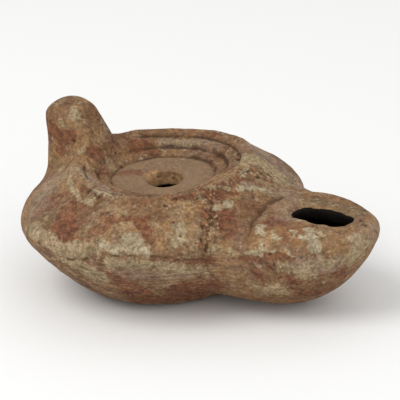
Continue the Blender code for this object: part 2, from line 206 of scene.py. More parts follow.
# Shifts and waves a turned point as the clay was pressed: most at the seam, none at base and rim.
# What stands over a cone from the disc's edge to the rim is worn off on the near side. The rim runs into
# the far shoulder and is lifted by the handle's foot.
def pressed(points):
    x, y, z = points[..., 0], points[..., 1], points[..., 2]
    seam, top, disc, rim = lamp["seamHeight"], lamp["discTop"], lamp["discRadius"], lamp["rimOuter"]
    above = np.clip(lamp["rimBase"] - z, 0, None) / lamp["shoulderRise"]
    share = np.where(z < seam, np.clip(z, 0, None) / seam, above)
    angle, radius = np.arctan2(y, x), np.hypot(x, y)
    wave = (lamp["seamWave"] * (1 - np.sin(angle)) / 2
            * np.sin(2 * (angle - math.radians(lamp["seamWaveAngle"]))))

    def facing(side, limits):
        return smoothStep(*lamp[limits], np.cos(angle - math.radians(lamp[side])))

    coneRun = rim - lamp["ringWearInset"] - disc
    slope = (lamp["ringWearTop"] - top) / coneRun
    cone = top + np.clip(radius - disc, 0, coneRun) * slope
    wornOff = (facing("ringWornTo", "ringWornFacing") * smoothStep(rim + 1.2, rim - 0.6, radius)
               * np.clip(z - cone, 0, None) * (z > top - 0.1) * (radius > disc - 0.4))
    merged = (facing("mergeTo", "mergeFacing") * smoothStep(rim - 1.0, rim, radius)
              * np.exp(-np.clip(radius - rim, 0, None) / lamp["mergeReach"]) * (z > seam))
    fromFoot = (np.degrees(angle) - lamp["footLiftTo"] + 180) % 360 - 180
    lift = (lamp["footLift"] * np.exp(-(fromFoot / lamp["footLiftSpread"]) ** 2)
            * smoothStep(12.5, 16, radius) * smoothStep(31, 23, radius) * (z > seam))
    z = z - lamp["ringWornShare"] * wornOff + lamp["merge"] * merged + lift
    shift = lamp["seamShift"]
    return np.stack([x + shift[0] * share, y + shift[1] * share, z + wave * share ** 2], -1)


# Radius of the bowl's outside from the base's edge up to the seam: r0 + (r1 - r0) * share^fullness.
def bowlCurve(innerRadius, innerHeight, outerRadius, outerHeight, count=40):
    share = np.linspace(0, 1, count)
    radius = innerRadius + (outerRadius - innerRadius) * share ** lamp["bowlFullness"]
    return np.stack([radius, innerHeight + (outerHeight - innerHeight) * share], -1).tolist()


def bodyProfile():
    base, body, rim, seam = lamp["baseRadius"], lamp["bodyRadius"], lamp["rimOuter"], lamp["seamHeight"]
    line, run, depth = lamp["baseLine"], lamp["stepRun"], lamp["lineDepth"]
    corners = [(0, 0), (line - 0.7, 0), (line, 0.5), (line + 0.7, 0), (base, 0)]
    corners += bowlCurve(base + lamp["baseStep"], lamp["baseStep"], body - lamp["seamSetIn"],
                         seam - lamp["seamRound"])
    corners.append((body, seam))
    radii = rim + (body - rim) * (1 - np.linspace(0.02, 0.97, 40) ** 1.3)
    corners += np.stack([radii, shoulderHeight(radii)], -1).tolist()
    crest, level = rim - 0.36 * (rim - lamp["rimInner"]), lamp["rimTop"]
    corners += [(rim + 0.1, lamp["rimBase"] - 0.30), (rim - 0.35, lamp["rimBase"] + 0.55),
                ((rim + crest) / 2, level - 0.25), (crest, level)]
    for radius, step in ((lamp["rimInner"], lamp["ledgeStep"]), (lamp["ringInner"], lamp["ringStep"]),
                         (lamp["discRadius"], lamp["discStep"])):
        corners.append((radius + run, level - depth * 0.4))
        level -= step
        corners += [(radius, level - depth), (radius - run, level)]
    corners.append((0, lamp["discTop"] - 0.2))
    return softProfile(corners)


def cavityProfile():
    wall, disc = lamp["wall"], lamp["discTop"] - lamp["discThickness"] - lamp["discSag"]
    floorRadius, wallRadius = lamp["baseRadius"] - wall * 0.3, lamp["bodyRadius"] - wall * 1.2
    turn = lamp["rimOuter"] + wall
    corners = [(0, lamp["floor"])]
    corners += bowlCurve(floorRadius, lamp["floor"], wallRadius, lamp["seamHeight"] - lamp["seamRound"])
    corners += [(wallRadius, lamp["seamHeight"] - 0.5), (turn, float(shoulderHeight(turn)) - wall * 1.2),
                (lamp["rimOuter"] - wall * 0.4, lamp["rimBase"] - wall * 1.3),
                (lamp["discRadius"] + 0.7, disc), (0, disc)]
    return softProfile(corners, 0.4, 0.8)


# Plan outline: rootHalf * (1 - share^taper)^round, from the rim to the rounded tip.
def nozzleHalf(x, tip):
    share = np.clip((x - nozzle["root"]) / (tip - nozzle["root"]), 0, 1)
    return nozzle["rootHalf"] * (1 - share ** nozzle["taper"]) ** nozzle["round"]


# Centre line of the top: falls from the rim by an exponential, then runs nearly level.
def nozzleTop(x):
    level = nozzle["top"] - nozzle["tipFall"] * (x - nozzle["holeX"]) / (nozzle["tip"] - nozzle["holeX"])
    return level + (nozzle["neckTop"] - nozzle["top"]) * np.exp(-(x - nozzle["root"]) / nozzle["neckSettle"])


# Centre line of the underside: keel + rise * (1 - (1 - share^slow)^steep).
def nozzleKeel(x, tip):
    share = np.clip((x - tip) / nozzle["keelSetback"] + 1, 0, 1)
    slow, steep = nozzle["keelCurve"]
    return nozzle["keel"] + (nozzle["nose"] - nozzle["keel"]) * (1 - (1 - share ** slow) ** steep)


# Superellipse power of the top's section, which flattens between the arch line and the wick hole.
def topPower(x, y):
    share = np.clip((x - nozzle["archX"]) / (nozzle["holeX"] - nozzle["archX"]), 0, 1)
    flat = np.where(y > 0, nozzle["topPower"][1], nozzle["topPower"][0])
    return nozzle["neckPower"] + (flat - nozzle["neckPower"]) * share


# Upright sections along X: each is two half superellipses that meet at the widest level.
def nozzleGrid(start, tip, wall, rows, columns):
    x = start + (tip - start) * np.sin(0.5 * np.pi * np.linspace(0, 1, rows))
    x = np.concatenate([x[:1], x])[:, None]
    reach = tip + wall
    half = np.clip(nozzleHalf(x, reach) - wall, 0, None)
    along = np.clip((x - lamp["bodyRadius"]) / (reach - lamp["bodyRadius"]), 0, 1)
    blunt = np.minimum(1, half / nozzle["noseRound"]) ** 0.6
    top = nozzle["nose"] + (nozzleTop(x) - wall - nozzle["nose"]) * blunt
    bottom = nozzleKeel(x, reach) + wall
    middle = np.minimum(lamp["seamHeight"] + (nozzle["nose"] - lamp["seamHeight"]) * along ** 0.8, top)
    turn = np.linspace(0, 2 * np.pi, columns, endpoint=False)
    across, up = np.cos(turn), np.sin(turn)
    hull = nozzle["hullPower"] + (nozzle["keelPower"] - nozzle["hullPower"]) * along
    power = np.where(up >= 0, topPower(x, across), hull)
    rise = np.where(up >= 0, top - middle, middle - bottom)
    y = half * np.sign(across) * np.abs(across) ** (2 / power)
    z = middle + rise * np.sign(up) * np.abs(up) ** (2 / power)
    grid = np.stack([x + 0 * y, y, z], -1)
    grid[-1] = (tip, 0, nozzle["nose"])
    return grid[:, ::-1]


# Round-cornered oblongs stacked in Z. The back is upright, the front leans back and the foot spreads.
def handleSection(z):
    top = handle["top"] + handle["piled"]
    straightTop = top - handle["topRound"]
    above = np.clip(z - straightTop, 0, handle["topRound"])
    inset = handle["topRound"] - np.sqrt(np.clip(handle["topRound"] ** 2 - above ** 2, 0, None))
    flare = np.clip(1 - (z - lamp["seamHeight"]) / handle["footHeight"], 0, 1) ** 2
    front = handle["back"] + handle["topLength"] + (top - z) * handle["frontSlope"]
    front = np.minimum(front, -lamp["discRadius"] - lamp["stepRun"]) - inset
    rear = handle["back"] - handle["backFlare"] * flare + inset + handle["worn"]
    halfWidth = handle["halfWidth"] + handle["footFlare"] * flare - inset - handle["worn"]
    return rear, front, halfWidth


def handleGrid(rows, columns):
    low, high = lamp["seamHeight"], handle["top"] + handle["piled"] - handle["topRound"]
    turn = np.linspace(0, 0.5 * np.pi, rows // 3)
    z = np.concatenate([np.linspace(low, high, rows - len(turn)),
                        high + handle["topRound"] * np.sin(turn)[1:]])
    z = withPoles(z)
    rear, front, halfWidth = handleSection(z)
    corner = np.minimum(handle["cornerRound"], np.minimum(halfWidth * 0.9, (front - rear) * 0.45))
    angle = np.linspace(0, 2 * np.pi, columns, endpoint=False) + np.pi / columns
    c, s = np.cos(angle), np.sin(angle)
    x = (front + rear) / 2 + np.sign(c) * ((front - rear) / 2 - corner) + corner * c
    y = np.sign(s) * (halfWidth - corner) + corner * s
    return np.stack([x, y, z + 0 * x], -1)


def fillHoleGrid():
    top, r, lip = lamp["discTop"] - 0.2, lamp["fillHole"], lamp["fillLip"]
    low = top - lamp["discThickness"] - lamp["wall"] - 1
    bend = np.linspace(0.2, 0.5 * np.pi, 8)
    corners = [(0, low), (r, low), (r, top - lip)]
    corners += np.stack([r + lip * (1 - np.cos(bend)), top - lip * (1 - np.sin(bend))], -1).tolist()
    corners += [(r + lip * 1.5, top + lip), (0, top + lip)]
    grid = turned(softProfile(corners, 0.15, 0.15), 96)
    angle, shift = math.radians(lamp["fillWornTo"]), lamp["fillShift"]
    c, s = math.cos(angle), math.sin(angle)
    along, across = grid[..., 0] * c + grid[..., 1] * s, grid[..., 1] * c - grid[..., 0] * s
    along, across = along * lamp["fillWorn"][0], across * lamp["fillWorn"][1]
    return np.stack([along * c - across * s + shift[0], along * s + across * c + shift[1], grid[..., 2]], -1)


# The wick hole's worn edge, as corners in plan read from the photo. Its radius about the middle is drawn
# out over the angle and smoothed, and grows by the flare above the edge and a little below it.
wickOutline = [(34.6, -1.2), (34.5, 1.2), (34.8, 2.8), (37.4, 3.3), (41.1, 3.7), (44.2, 2.9), (46.5, 2.8),
               (47.2, 0.6), (47.0, -1.6), (45.3, -2.8), (42.5, -2.3), (38.9, -1.8), (36.8, -2.6)]


def wickHoleGrid():
    top, flare = nozzle["top"], nozzle["holeFlare"]
    edge = top - nozzle["holeEdge"]
    levels = np.array([(top - 5.2, flare * 0.8), (edge - 0.9, flare * 0.15), (edge, 0.0),
                       (edge + 0.2, flare * 0.45), (top, flare), (top + 1.8, flare * 1.5)])
    z = np.linspace(levels[0, 0], levels[-1, 0], 60)
    grow = withPoles(np.interp(z, levels[:, 0], levels[:, 1]))
    z = withPoles(z)
    angle = np.linspace(-np.pi, np.pi, 180, endpoint=False)
    corners = np.array(wickOutline) - (nozzle["holeX"], 0)
    turns = np.arctan2(corners[:, 1], corners[:, 0])
    rank = np.argsort(turns)
    radius = np.interp(angle, turns[rank], np.hypot(corners[:, 0], corners[:, 1])[rank], period=2 * np.pi)
    along, across = nozzle["holeHalf"]
    oval = np.hypot(along * np.cos(angle), across * np.sin(angle))
    draw = np.random.default_rng(7)
    ragged = sum(draw.uniform(0.04, 0.11) * np.sin(wave * angle + draw.uniform(0, 6.3))
                 for wave in range(9, 40, 3))
    ragged *= np.where(angle > 0, 0.3, 1.0)
    near = np.exp(-((z - edge) / 1.0) ** 2)
    radius = radius * near + (0.5 * radius + 0.5 * oval) * (1 - near) + ragged * near * 0.8
    x = nozzle["holeX"] + (radius + grow) * np.cos(angle)
    y = (radius + grow) * np.sin(angle)
    return np.stack([x, y, z + 0 * x], -1)


# The clay body: the parts' forms joined and remeshed into one skin, less the hollow.
fineness = {"voxel": 0.34, "hollowVoxel": 0.36, "triangles": 190000}

clay = joinedObject("lampClay", [
    gridMesh("bodyForm", pressed(turned(bodyProfile(), 480))),
    gridMesh("nozzleForm", nozzleGrid(lamp["rimInner"] + 0.7, nozzle["tip"], 0.0, 150, 220)),
    gridMesh("handleForm", handleGrid(90, 120)),
])
remesh(clay, fineness["voxel"])
hollow = joinedObject("hollowForm", [
    gridMesh("chamberForm", turned(cavityProfile(), 160)),
    gridMesh("channelForm",
             nozzleGrid(lamp["rimInner"], nozzle["tip"] - lamp["wall"] * 1.3, lamp["wall"], 60, 100)),
    gridMesh("fillHoleForm", fillHoleGrid()),
    gridMesh("wickHoleForm", wickHoleGrid()),
])
remesh(hollow, fineness["hollowVoxel"])
print("outside:", len(clay.data.polygons), "faces, hollow:", len(hollow.data.polygons), "faces")

cut = clay.modifiers.new("hollow", "BOOLEAN")
cut.operation = "DIFFERENCE"
cut.solver = "EXACT"
cut.object = hollow
applyModifiers(clay)
bpy.data.objects.remove(hollow, do_unlink=True)
remesh(clay, fineness["voxel"])
print("lamp with its hollow:", len(clay.data.polygons), "faces")


# Vertex places in millimetres, and the two ends of each edge.
def meshArrays(mesh):
    points = np.empty(len(mesh.vertices) * 3)
    mesh.vertices.foreach_get("co", points)
    ends = np.empty(len(mesh.edges) * 2, int)
    mesh.edges.foreach_get("vertices", ends)
    return points.reshape(-1, 3) / millimetre, ends.reshape(-1, 2)


# Each point becomes the mean of itself and its neighbours' mean, as far as its weight says.
def relaxed(points, ends, weight, rounds):
    count = len(points)
    a, b = ends[:, 0], ends[:, 1]
    share = 1 / np.maximum(np.bincount(a, minlength=count) + np.bincount(b, minlength=count), 1)
    for _ in range(rounds):
        mean = np.stack([(np.bincount(a, column[b], count) + np.bincount(b, column[a], count)) * share
                         for column in points.T], -1)
        points = points + (mean - points) * weight[:, None]
    return points


def meshNormals(mesh):
    normals = np.empty(len(mesh.vertices) * 3)
    mesh.vertex_normals.foreach_get("vector", normals)
    return normals.reshape(-1, 3)


def writePoints(mesh, points):
    mesh.vertices.foreach_set("co", (points * millimetre).ravel())
    mesh.update()


# Marks on the clay, read from the photo: strength, reach and the line each follows, in millimetres.
nearRim = [(2, -19.2, 26.6), (8, -17.6, 26.6), (13, -14.6, 26.6), (17, -9.5, 26.8)]
crustMarks = {
    "handleCap": (0.5, 1.2, [(-26.3, -4.2, 36.4), (-24.9, -1.5, 37.4), (-22.8, 1.2, 37)]),
    "handleFace": (1, 1.2, [(-22, -1.6, 36.6), (-21, -3.4, 35.2), (-19.6, -3, 33)]),
    "handleEdge": (0.8, 0.8, [(-23.2, -5, 34.6), (-22.2, -5, 33.2)]),
    "handleSpots": (0.8, 0.9, [(-20.7, -5, 29.9), (-18.8, -5.1, 28.3)]),
    "rimStepLeft": (0.8, 1.1, [(-21.4, -8.9, 24.5), (-13.6, -16.1, 25.5), (-6.4, -20.8, 25.2),
        (-2.5, -22.4, 24.9)]),
    "ringLeft": (0.85, 1.1, [(-13.4, -11.8, 26.6), (-9.6, -15.4, 26.6)]),
    "seamLeft": (0.8, 2.1, [(-15.2, -27.4, 18.7), (-9.1, -30.3, 18.5), (-4, -31.6, 18.1), (1.5, -31.7, 18.5),
        (8.2, -29.9, 19.5)]),
    "brightLow": (1.15, 1.9, [(6.4, -30.1, 19.6), (10.5, -28.9, 19.6), (15.4, -27, 19.4)]),
    "brightTop": (1.1, 1.6, [(10.2, -27.1, 21.2), (12.6, -26.9, 20.8)]),
    "shoulderRight": (1, 1.5, [(19, -19.9, 22.1), (20.7, -21.1, 20.6), (19.9, -22.8, 20.1)]),
    "rimWhite": (1.4, 0.6, [(-3.4, -20.3, 26.7), (-0.1, -20.8, 26), (2.4, -20.6, 26.2)]),
    "rimFarRight": (0.8, 1.2, [(12.5, 10.7, 26.8), (16.4, 7.5, 27.3), (20.4, 3, 26.5)]),
    "pebble": (1.5, 1, [(20.2, 1.1, 27), (20.5, 2.4, 26.3)]),
    "neckStreak": (1.6, 1, [(22, -3.3, 25), (23.3, -1.1, 24.4), (24.4, 2, 23.7)]),
    "neckPatch": (1.3, 1.2, [(21.3, -10.9, 24), (22.6, -9.5, 23.7), (23.5, -7.5, 23.6)]),
    "rimDots": (0.9, 0.7, [(19.1, -7.3, 26.9), (20, -5.8, 26)]),
    "farShoulder": (0.65, 3.8, [(17.9, 8.7, 27.3), (19.7, 11.1, 24.7), (22.8, 10.2, 23)]),
    "nozzleColumn": (1.35, 1, [(32.4, -9.8, 20.9), (34, -12.7, 19.8), (34.8, -14.4, 18)]),
    "nozzleSpotA": (1.3, 0.8, [(36, -10.5, 20.5), (37.4, -11.6, 20.1)]),
    "nozzleSpotB": (1.3, 0.8, [(39.2, -9.4, 20.6), (40.7, -10.3, 20.2)]),
    "nozzleBlob": (1.5, 1.5, [(42, -7.7, 20.7), (44, -9.4, 20), (45.3, -9.7, 19.1)]),
    "nozzleOval": (1.3, 1.1, [(44, -6.4, 20.8), (45.6, -7.1, 20.5)]),
    "wickEdge": (0.55, 1.2, [(36.5, -3.8, 21.1), (39.5, -4, 21.1), (43.5, -4.6, 21)]),
    "tipSpots": (1.1, 0.8, [(51.1, -4.1, 20.4), (52.2, -3.7, 19.7)]),
    "tipEnd": (0.85, 2, [(49.6, -5.3, 14.6), (51.2, -4.2, 16.4), (52.3, -2.9, 17.7)]),
    "underTip": (0.7, 1.5, [(46.1, -9.1, 16.1), (47.3, -8, 15.2)]),
    "nozzleSeam": (1.25, 0.55, [(29.7, -16.4, 17.6), (34.2, -14.7, 18), (37.7, -13.4, 18.1),
        (42.4, -11.4, 18.1)]),
    "neckSeam": (0.75, 1.1, [(25.7, -18.6, 18.4), (29, -16.6, 18.4)]),
    "bowlLeft": (0.7, 3, [(-2.8, -31.4, 15.2), (0.2, -30.7, 14.2), (2.9, -28.8, 11.7)]),
    "bowlMid": (0.95, 1.7, [(8, -30.2, 15.6), (13, -28.6, 15.6), (17.1, -25.9, 15.6), (20.5, -23, 14.2)]),
    "bowlRight": (0.9, 1.2, [(20.2, -22.3, 13.9), (21.8, -20.7, 13.7), (22.8, -18, 12.2)]),
    "nozzleMist": (0.6, 2.6, [(39, -12.4, 14.5), (43.5, -9.8, 13.5)]),
    "nozzleMistLow": (0.5, 2.2, [(33, -13.5, 9.5), (37.5, -11, 8)]),
    "ringBack": (0.6, 1, [(-8.6, 12.6, 26.2), (-4.2, 14.2, 25.9), (-0.3, 14.5, 25.4)]),
}
slipMarks = {
    "nearCone": (0.9, 1.4, [(6, -14, 25.4), (11, -11.5, 25.6), (14.5, -8, 25.8), (17, -3.5, 26.3)]),
    "nearRim": (0.85, 1.1, nearRim),
    "shoulderLeft": (1.35, 2.6, [(-7.3, -24.1, 23.6), (-5, -26.6, 22.3), (-5.4, -28.6, 21.2),
        (-3.2, -29.2, 20.6)]),
    "shoulderPoint": (1.3, 1.3, [(-3.6, -29.8, 20.2), (-2.6, -30.8, 19)]),
    "shoulderPale": (0.55, 4, [(-15.9, -22.7, 22), (-13, -21.6, 23.5)]),
    "bandLeft": (1.2, 1.8, [(3.8, -29.1, 21.1), (4.4, -26.7, 22.5), (5, -24.5, 23.6)]),
    "bandTop": (1.5, 1.4, [(3.2, -25.1, 23.5), (7.8, -23.8, 23.6), (11.1, -22.3, 23.6)]),
    "bandRight": (1.5, 1.4, [(11.2, -23.1, 23.3), (13.6, -24.4, 22), (15, -25.4, 20.8)]),
    "bowlBottom": (0.9, 3, [(7, -21.5, 4), (14, -18, 4), (20, -13, 4.5)]),
    "nozzleSpots": (0.75, 1.4, [(36.5, -13.8, 15.5), (39.5, -12.4, 13.5), (41, -11, 11)]),
    "bowlLow": (1.4, 3, [(4.8, -28.7, 12), (7, -26.5, 9.8), (9, -23.4, 6.8)]),
    "bowlLowRight": (1, 3.4, [(17.5, -19.1, 7.9), (18.9, -15.6, 6.3), (22.8, -15.4, 7.9)]),
    "seamRight": (0.95, 1, [(21.7, -22.3, 16.2), (23.5, -20, 15.6), (25.2, -17.5, 14.9)]),
    "neckOrange": (1.4, 1.3, [(20.9, -7.9, 24.9), (21.6, -6.1, 24.8), (22.4, -4.6, 24.6)]),
    "neckPurple": (1.1, 2.7, [(23.2, -11.8, 22.9), (24.9, -11.8, 21.9), (26.3, -13, 20.8)]),
    "rimPurple": (0.8, 1.4, [(15, -14.2, 26.2), (18.6, -9.6, 26.2), (20.4, -4.5, 26.2), (20.8, 0, 26)]),
    "nearRings": (0.6, 1, [(-2, -16, 25.6), (6, -14, 25.2), (12, -10.5, 25.3)]),
    "rimOrange": (0.95, 1, [(16.5, -12.5, 26.3), (18.2, -9.9, 26.1), (19.2, -7.5, 26.5), (20.1, -4.4, 26.6)]),
    "grooveOrange": (0.8, 0.9, [(19.7, -12.2, 24.2), (21.6, -14.3, 22.7), (23.5, -16.9, 20.9)]),
    "discBack": (1.15, 1.8, [(-13.1, 6.8, 25.8), (-11.7, 8.7, 25.4), (-9.4, 9, 24.7)]),
    "footRed": (0.9, 1.8, [(-16.5, -4.5, 28), (-15.2, -3.4, 27.1), (-12.3, -5.3, 24.7)]),
    "discLeft": (0.6, 2.2, [(-9.5, -3.2, 23.7), (-6.9, -1.2, 23.6)]),
    "handleLeft": (0.5, 2, [(-28.5, -4.5, 34), (-28.3, -5, 30)]),
    "nozzleBelow": (0.65, 1.3, [(31, -15.8, 16), (38, -13.2, 16), (44, -10.6, 16.2)]),
    "handleRed": (0.85, 2.2, [(-27, -5, 32.4), (-24.4, -5, 30.6), (-20.9, -5, 31.2)]),
    "handleLow": (0.8, 1.3, [(-25.1, -5, 29.3), (-24.1, -5.2, 27.6)]),
    "rimBack": (0.45, 1.4, [(-8.2, 16, 27.3), (-3.9, 17.8, 27.3), (3, 17.9, 27.3)]),
    "ringBackRight": (0.62, 0.9, [(-2.3, 14.2, 24.9), (1.5, 14.3, 25), (5.9, 13.1, 24.9)]),
    "nozzleArc": (0.5, 1.4, [(32.2, -8.7, 21.1), (33, -6.3, 21.5), (36.4, -6.9, 21.2)]),
    "nozzleMid": (0.4, 1.6, [(39.1, -11.5, 19.9), (38.9, -7.5, 21), (41, -8.2, 20.7)]),
    "underStreak": (1.5, 1, [(33.6, -14.6, 13.2), (34.3, -13.8, 11), (35.5, -12.1, 8.3)]),
    "underBrown": (0.65, 1.2, [(38.4, -13.1, 16.2), (38.6, -12.9, 14.4)]),
    "underTipRed": (0.65, 1.8, [(47, -8.3, 15.3), (48.1, -6.4, 13.4), (47.6, -3.5, 10.3)]),
    "farPink": (0.65, 1.6, [(17.7, 14.9, 24.4), (21.1, 14.7, 23)]),
    "nozzleLow": (0.55, 2, [(38.9, -10.6, 8.3), (41.7, -7.5, 6.9), (43.6, -4.8, 6.6)]),
}
stainMarks = {
    "shoulderLeft": (0.8, 4.5, [(-18, -20, 22), (-11, -26, 21.5)]),
    "shoulderMid": (0.25, 3, [(6, -22.5, 24.4), (13, -20, 24)]),
    "wickFarSide": (1.2, 2.4, [(36, 6, 21.2), (41, 6.6, 21.2), (46, 5.2, 21)]),
    "wickRight": (0.9, 0.9, [(47.8, -0.5, 21), (48.2, 2, 21)]),
    "bowlLow": (0.7, 3.5, [(3, -22, 5), (12, -20, 5), (20, -13, 5)]),
    "nozzleLow": (0.55, 3, [(32, -10, 7), (40, -8, 6)]),
    "handleFoot": (0.6, 2, [(-26, -6, 25), (-22, -8, 24)]),
}
veilMarks = {
    "farShoulder": (0.9, 4, [(14, 17, 25.5), (20, 14, 24), (26, 14, 20.5)]),
    "nozzleTop": (0.35, 3, [(27, 6, 22.5), (31, 3, 21.8), (34, -3, 21.4)]),
    "tip": (0.7, 2.5, [(51, -3, 19), (52.5, 1, 19.5)]),
    "shoulderLeft": (0.5, 4, [(-17, -22, 21), (-20, -14, 23)]),
    "ringsLeft": (0.75, 1.8, [(-13, -12.5, 26.3), (-8, -15.5, 26), (-4, -17.5, 26), (2, -18, 26)]),
    "ringsBack": (0.5, 2, [(-9, 12.5, 26), (-3, 15, 26), (4, 15, 26)]),
    "neckStreak": (0.7, 1.2, [(21.5, -1, 25.4), (25.5, 3, 23.3)]),
    "bowlMid": (0.35, 2.5, [(5, -30, 13.5), (12, -27.5, 13), (20, -21.5, 12)]),
    "nozzleLow": (0.7, 2.4, [(41, -11.3, 15.5), (47.5, -7.5, 14.5)]),
}
cleanMarks = {
    "nozzleRight": (1, 2.8, [(46.8, -7.6, 20), (49, -7.2, 18.8), (50.4, -5.5, 19.7)]),
    "shoulderTan": (0.35, 2.6, [(8, -21, 25.2), (13, -18.6, 24.8), (17, -18, 23.6)]),
    "neckTan": (0.2, 2, [(25.2, -7.5, 23), (26.5, -4, 23.2)]),
}
bareMarks = {
    "nozzle": (0.75, 3.2, [(36.5, -10, 20.4), (41, -9.5, 20.2)]),
    "shoulder": (0.6, 2.4, [(16.2, -22.6, 22.8), (16.8, -24.2, 21)]),
    "neck": (0.4, 2, [(27, -9, 22.2), (27.5, -12, 21)]),
    "neckFoot": (1, 0.9, [(24, -17.4, 20), (24.5, -18.9, 18.6)]),
    "grooveFlank": (1, 1, [(19.4, -12.2, 24.4), (21.3, -14.4, 22.9), (23.3, -17.1, 20.9)]),
    "neckOrange": (0.9, 1.2, [(20.9, -7.9, 24.9), (22.4, -4.6, 24.6)]),
}
pitMarks = {
    "nearCone": (0.6, 1.5, [(9, -13, 25.5), (13, -9.5, 25.7), (16, -5, 26)]),
    "nearRim": (0.75, 1.3, nearRim),
    "neckRight": (0.8, 1.5, [(18.9, 1.2, 27.4), (20.3, 1.7, 27), (22.3, 5.7, 24.5)]),
    "grooveLow": (1, 1.3, [(22.3, -16.5, 21.2), (24, -18.4, 19.8), (24.6, -19.2, 17.5)]),
    "rimRight": (0.55, 1.2, [(17.9, -11.6, 25.5), (19.1, -8.2, 25.8), (20.2, -4.7, 26.1),
        (20.7, -0.1, 26.3)]),
    "neckPits": (0.8, 1.6, [(19.5, -10.7, 25), (22.2, -13.2, 23), (23.8, -15, 21.6)]),
    "farValley": (0.8, 1.2, [(19.3, 7.9, 25.5), (21.8, 7.9, 24.1), (23, 9.8, 22.7)]),
    "brightPits": (0.5, 1.6, [(10.7, -29.1, 19.5), (13.1, -28.2, 19.3)]),
    "shoulderSpots": (0.8, 1, [(13.7, -17.2, 25.1), (14.3, -15.1, 25.8)]),
    "rimLeft": (0.9, 0.8, [(-4.6, -20.1, 26.4), (-1.5, -20.7, 26)]),
    "handleFoot": (0.5, 1.2, [(-15.9, -4.8, 26.8), (-14, -3.1, 25.3)]),
    "ringRight": (0.7, 1.4, [(8.5, 13, 26.3), (14.1, 9.5, 26)]),
    "tip": (0.7, 1.2, [(48.5, 1.6, 20.9), (50.6, -0.2, 20.8)]),
}
# Lines cut or worn into the clay: depth, half width, how dark the line painted along the cut is, and the
# path. The painted line stands for the shade in the cut, and on the seam also for its brown joint.
grooveLines = {
    "nearNeck": (0.42, 0.45, 0.4, [(19.4, -9.4, 25.6), (20.3, -10.5, 24.6), (22.2, -12.9, 23.1),
        (23.4, -15.8, 21.5), (24.2, -18, 19.8), (24.7, -19.2, 17.9)]),
    "nearNeckEdge": (-0.3, 0.9, 0, [(21.2, -9.8, 24.6), (23.4, -12.4, 22.9), (25, -15.6, 21.3),
        (26, -18, 19.4)]),
    "arch": (0.55, 0.75, 0.85, [(28.9, 3.3, 22.2), (28.5, 0.9, 22.4), (28.5, -1.9, 22.4), (29, -5.5, 22),
        (29.6, -8.6, 21.3), (30.1, -10.9, 20.5), (30.6, -12.8, 19.9)]),
    "archLip": (-0.28, 0.8, 0, [(30.6, 4, 22), (30.1, 0.9, 22.1), (30.1, -2.2, 22), (30.6, -5.6, 21.7),
        (31.2, -8.8, 21), (31.8, -11.2, 20.1)]),
    "farValley": (0.5, 1.6, 0.1, [(18.6, 7.6, 26), (21.3, 8.4, 24.3), (23.4, 10.6, 22.4), (25, 13.2, 20.6)]),
    "tipCrack": (0.3, 0.3, 0.7, [(49, 1, 20.9), (50.8, 0.1, 20.9), (52.2, 0, 20.6), (53.3, 0.8, 19.6)]),
    "tipPit": (0.8, 0.45, 1, [(34, 8.3, 21.4), (34.4, 8.6, 21.3)]),
    "seam": (0.3, 0.36, 0.9, [(-4.7, -31.2, 15.7), (-1.2, -31.4, 15.8), (2.5, -31.5, 16.6),
        (5.8, -31.2, 17.5), (10, -30.1, 17.9), (12.5, -29, 18.1), (14.9, -27.7, 18.5), (17, -26.5, 18.1),
        (19.1, -24.9, 17.4), (21, -23.1, 16.6), (22.7, -21, 16.2), (24.3, -19, 16.2)]),
    "nozzleSeam": (0.15, 0.4, 0.5, [(29.7, -16.2, 17), (34.2, -14.7, 17.4), (37.7, -13.4, 17.5),
        (42.4, -11.4, 17.5), (47.1, -8.6, 17.2)]),
}
# Where the relief was worn or squeezed flat: strength, reach and the line.
wornMarks = {
    "handleFootFront": (1, 3.1, [(-17, -7, 25.5), (-15, 0, 26.5), (-16, 8, 25.5)]),
    "handleFootSide": (1, 4, [(-18, -8, 25.5), (-24, -8.5, 24), (-29.5, -7, 21)]),
    "handleFootFar": (1, 4, [(-18, 8, 25.5), (-24, 8.5, 24), (-29.5, 7, 21)]),
    "ringsByHandle": (0.7, 2.2, [(-14, -6, 25.8), (-14.5, 0, 26), (-14, 5, 25.8)]),
    "rimRight": (1, 2.6, [(11.5, 18.4, 26), (16.5, 14, 26), (20.3, 8, 26), (21.6, 1, 25.8)]),
    "neckFar": (0.8, 3, [(21.5, 9, 24), (25.5, 13, 20)]),
    "neckUnder": (0.8, 4, [(24, -17.5, 14), (24, -13, 7), (24, 0, 2.5), (24, 13, 7), (24, 17.5, 14)]),
}
# Heights of the relief, and for the noises also wavelength in millimetres and seed. Then the ovals round the
# wick hole that stay unrelaxed and hold soot with painted shade, the hollow's floor and ceiling and the
# filling hole's wall.
relief = {
    "noises": ((0.30, 17, 130), (0.12, 4.5, 140), (0.08, 1.5, 150)),
    "crust": 0.07, "slip": -0.05, "wipes": 0.09, "pits": 0.26, "scatteredPits": 500, "flatUnder": (0.8, 3.2),
    "fillSlope": (1.2, 1.5, [(-4.3, 1.2, 23.7), (-3.7, 0.2, 23.7), (-3.3, -0.8, 23.7)]),
    "roundHole": (9, 6), "sootShadeHalf": (8.4, 5.0), "sootShadeDepth": 3, "inside": (2.5, 19.2),
    "fillWallRadius": (7.2, 6.2),
}
# How dark the painted shade in some grooves is, as a share of what their depth would gather.
grooveShade = {"arch": 0.6, "seam": 0.55, "nearNeck": 0.7}


# The points that may lie within reach of a line, and their distances from it.
def nearLine(points, path, reach):
    corners = np.asarray(path, float)
    box = np.flatnonzero(((points > corners.min(0) - reach) & (points < corners.max(0) + reach)).all(1))
    return box, pathDistance(points[box], path)[0]


# Strongest of the marks at each point: full within 0.45 of the mark's reach, none beyond 1.25 of it.
def markField(points, marks):
    total = np.zeros(len(points))
    for strength, reach, path in marks.values():
        box, away = nearLine(points, path, reach * 1.25)
        total[box] = np.maximum(total[box], strength * smoothStep(reach * 1.25, reach * 0.45, away))
    return total


